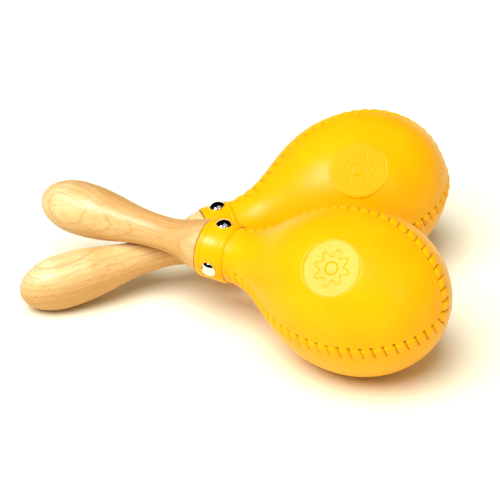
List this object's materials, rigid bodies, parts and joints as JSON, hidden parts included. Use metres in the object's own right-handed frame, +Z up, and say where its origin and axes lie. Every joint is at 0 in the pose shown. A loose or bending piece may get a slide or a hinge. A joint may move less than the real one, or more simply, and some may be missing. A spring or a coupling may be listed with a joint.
{
  "type": "pair of maracas",
  "caption": "Crossed pair of maracas: yellow pear-shaped heads laced along the seam, nailed collars, turned pale wooden handles and loose shot inside.",
  "frame": {"origin": "on the table, under the middle of the pair's bounding box", "axes": "+X from the butts of the handles towards the heads, +Z up from the table, +Y from the front maraca towards the back one"},
  "size_m": [0.2572, 0.2126, 0.0954],
  "materials": {
    "shell_yellow": "saturated yellow, satin, with a fine leather grain",
    "lace_yellow": "saturated yellow, satin, plump stitches",
    "collar_yellow": "saturated yellow, smooth satin band",
    "handle_wood": "pale close-grained wood under satin lacquer",
    "nail_nickel": "polished nickel domes",
    "shot_steel": "plain steel balls"
  },
  "bodies": {
    "back_maraca": {"back_handle": "handle_wood", "back_badge_shell": "shell_yellow", "back_plain_shell": "shell_yellow", "back_seam_lace": "lace_yellow", "back_collar": "collar_yellow", "back_nail_1": "nail_nickel", "back_nail_2": "nail_nickel", "back_nail_3": "nail_nickel"},
    "front_maraca": {"front_handle": "handle_wood", "front_badge_shell": "shell_yellow", "front_plain_shell": "shell_yellow", "front_seam_lace": "lace_yellow", "front_collar": "collar_yellow", "front_nail_1": "nail_nickel", "front_nail_2": "nail_nickel", "front_nail_3": "nail_nickel"},
    "back_shot_01": {"back_shot_01": "shot_steel"},
    "back_shot_02": {"back_shot_02": "shot_steel"},
    "back_shot_03": {"back_shot_03": "shot_steel"},
    "back_shot_04": {"back_shot_04": "shot_steel"},
    "back_shot_05": {"back_shot_05": "shot_steel"},
    "back_shot_06": {"back_shot_06": "shot_steel"},
    "back_shot_07": {"back_shot_07": "shot_steel"},
    "back_shot_08": {"back_shot_08": "shot_steel"},
    "back_shot_09": {"back_shot_09": "shot_steel"},
    "back_shot_10": {"back_shot_10": "shot_steel"},
    "back_shot_11": {"back_shot_11": "shot_steel"},
    "back_shot_12": {"back_shot_12": "shot_steel"},
    "front_shot_01": {"front_shot_01": "shot_steel"},
    "front_shot_02": {"front_shot_02": "shot_steel"},
    "front_shot_03": {"front_shot_03": "shot_steel"},
    "front_shot_04": {"front_shot_04": "shot_steel"},
    "front_shot_05": {"front_shot_05": "shot_steel"},
    "front_shot_06": {"front_shot_06": "shot_steel"},
    "front_shot_07": {"front_shot_07": "shot_steel"},
    "front_shot_08": {"front_shot_08": "shot_steel"},
    "front_shot_09": {"front_shot_09": "shot_steel"},
    "front_shot_10": {"front_shot_10": "shot_steel"},
    "front_shot_11": {"front_shot_11": "shot_steel"},
    "front_shot_12": {"front_shot_12": "shot_steel"}
  },
  "joints": [
    {"name": "front_maraca_lift", "type": "slide", "parent": "back_maraca", "child": "front_maraca", "axis": [0, 0, 1], "range_m": [0, 0.15]},
    {"name": "back_shot_01_bounce", "type": "slide", "parent": "back_maraca", "child": "back_shot_01", "axis": [0, 0, 1], "range_m": [0, 0.073]},
    {"name": "back_shot_02_bounce", "type": "slide", "parent": "back_maraca", "child": "back_shot_02", "axis": [0, 0, 1], "range_m": [0, 0.076]},
    {"name": "back_shot_03_bounce", "type": "slide", "parent": "back_maraca", "child": "back_shot_03", "axis": [0, 0, 1], "range_m": [0, 0.076]},
    {"name": "back_shot_04_bounce", "type": "slide", "parent": "back_maraca", "child": "back_shot_04", "axis": [0, 0, 1], "range_m": [0, 0.073]},
    {"name": "back_shot_05_bounce", "type": "slide", "parent": "back_maraca", "child": "back_shot_05", "axis": [0, 0, 1], "range_m": [0, 0.074]},
    {"name": "back_shot_06_bounce", "type": "slide", "parent": "back_maraca", "child": "back_shot_06", "axis": [0, 0, 1], "range_m": [0, 0.077]},
    {"name": "back_shot_07_bounce", "type": "slide", "parent": "back_maraca", "child": "back_shot_07", "axis": [0, 0, 1], "range_m": [0, 0.077]},
    {"name": "back_shot_08_bounce", "type": "slide", "parent": "back_maraca", "child": "back_shot_08", "axis": [0, 0, 1], "range_m": [0, 0.074]},
    {"name": "back_shot_09_bounce", "type": "slide", "parent": "back_maraca", "child": "back_shot_09", "axis": [0, 0, 1], "range_m": [0, 0.073]},
    {"name": "back_shot_10_bounce", "type": "slide", "parent": "back_maraca", "child": "back_shot_10", "axis": [0, 0, 1], "range_m": [0, 0.076]},
    {"name": "back_shot_11_bounce", "type": "slide", "parent": "back_maraca", "child": "back_shot_11", "axis": [0, 0, 1], "range_m": [0, 0.076]},
    {"name": "back_shot_12_bounce", "type": "slide", "parent": "back_maraca", "child": "back_shot_12", "axis": [0, 0, 1], "range_m": [0, 0.073]},
    {"name": "front_shot_01_bounce", "type": "slide", "parent": "front_maraca", "child": "front_shot_01", "axis": [0, 0, 1], "range_m": [0, 0.073]},
    {"name": "front_shot_02_bounce", "type": "slide", "parent": "front_maraca", "child": "front_shot_02", "axis": [0, 0, 1], "range_m": [0, 0.076]},
    {"name": "front_shot_03_bounce", "type": "slide", "parent": "front_maraca", "child": "front_shot_03", "axis": [0, 0, 1], "range_m": [0, 0.076]},
    {"name": "front_shot_04_bounce", "type": "slide", "parent": "front_maraca", "child": "front_shot_04", "axis": [0, 0, 1], "range_m": [0, 0.073]},
    {"name": "front_shot_05_bounce", "type": "slide", "parent": "front_maraca", "child": "front_shot_05", "axis": [0, 0, 1], "range_m": [0, 0.074]},
    {"name": "front_shot_06_bounce", "type": "slide", "parent": "front_maraca", "child": "front_shot_06", "axis": [0, 0, 1], "range_m": [0, 0.077]},
    {"name": "front_shot_07_bounce", "type": "slide", "parent": "front_maraca", "child": "front_shot_07", "axis": [0, 0, 1], "range_m": [0, 0.077]},
    {"name": "front_shot_08_bounce", "type": "slide", "parent": "front_maraca", "child": "front_shot_08", "axis": [0, 0, 1], "range_m": [0, 0.074]},
    {"name": "front_shot_09_bounce", "type": "slide", "parent": "front_maraca", "child": "front_shot_09", "axis": [0, 0, 1], "range_m": [0, 0.073]},
    {"name": "front_shot_10_bounce", "type": "slide", "parent": "front_maraca", "child": "front_shot_10", "axis": [0, 0, 1], "range_m": [0, 0.076]},
    {"name": "front_shot_11_bounce", "type": "slide", "parent": "front_maraca", "child": "front_shot_11", "axis": [0, 0, 1], "range_m": [0, 0.076]},
    {"name": "front_shot_12_bounce", "type": "slide", "parent": "front_maraca", "child": "front_shot_12", "axis": [0, 0, 1], "range_m": [0, 0.073]}
  ]
}
